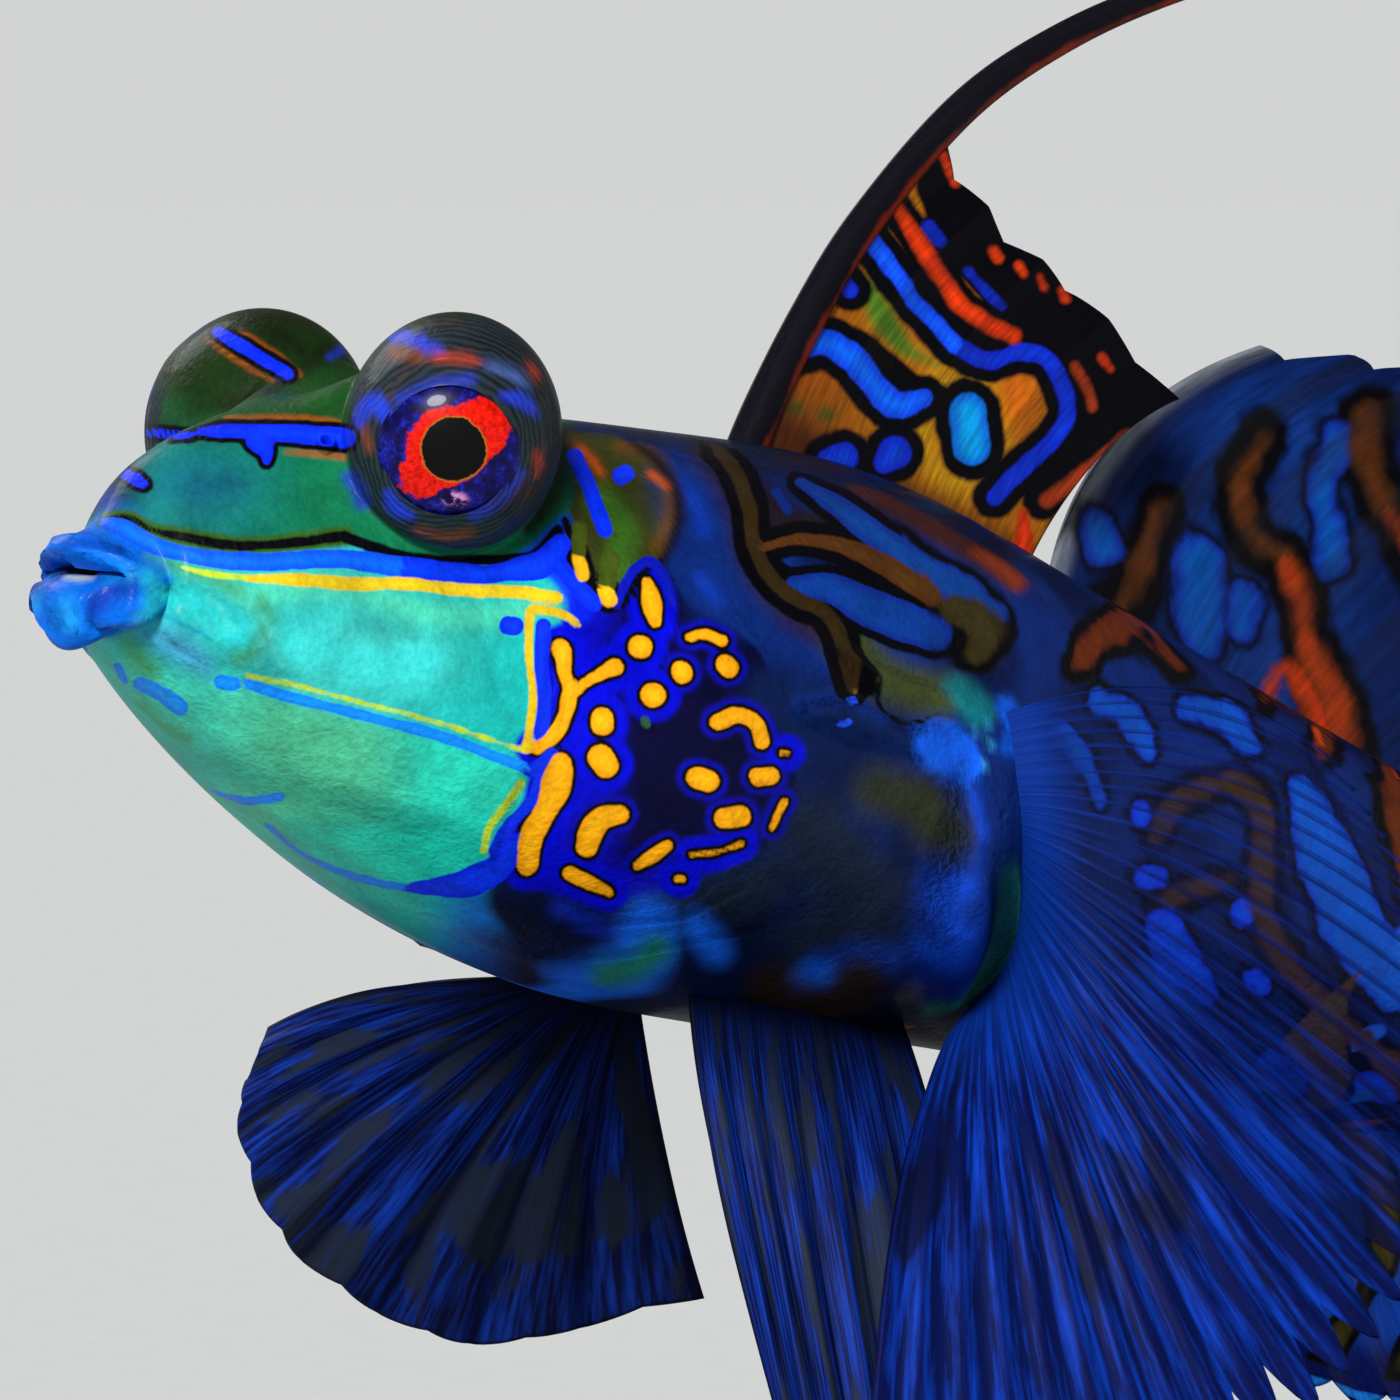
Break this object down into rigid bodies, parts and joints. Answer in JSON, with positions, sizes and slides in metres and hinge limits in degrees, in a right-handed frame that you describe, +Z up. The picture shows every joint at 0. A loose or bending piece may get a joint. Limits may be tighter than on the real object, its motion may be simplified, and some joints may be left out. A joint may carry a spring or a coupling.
{
  "type": "mandarinfish model on a display stand",
  "caption": "Still life-size model of a male mandarinfish with raised dome eyes, spread fins and a long dorsal streamer, held on rods over an oval base.",
  "frame": {"origin": "centre of the stand base's underside", "axes": "+Z up, the fish's head towards -X and its left side towards -Y"},
  "size_m": [0.066, 0.036, 0.0382],
  "materials": {
    "painted_skin": "smooth moist painted skin, blue with orange and green lines",
    "fin_membrane": "thin ribbed membrane, deep blue",
    "banded_fin": "thin ribbed membrane, orange and blue bands",
    "eye_glass": "polished, red iris with a black pupil",
    "stand_wood": "dark satin lacquer",
    "stand_steel": "brushed"
  },
  "bodies": {
    "root": {"head": "painted_skin", "torso": "painted_skin", "tail_stem": "painted_skin", "eye_left": "eye_glass", "eye_right": "eye_glass", "dorsal_fin_first": "banded_fin", "dorsal_fin_second": "banded_fin", "anal_fin": "banded_fin", "caudal_fin": "banded_fin", "pectoral_fin_left": "fin_membrane", "pectoral_fin_right": "fin_membrane", "pelvic_fin_left": "fin_membrane", "pelvic_fin_right": "fin_membrane", "stand_base": "stand_wood", "stand_rod_front": "stand_steel", "stand_rod_rear": "stand_steel"}
  },
  "joints": []
}
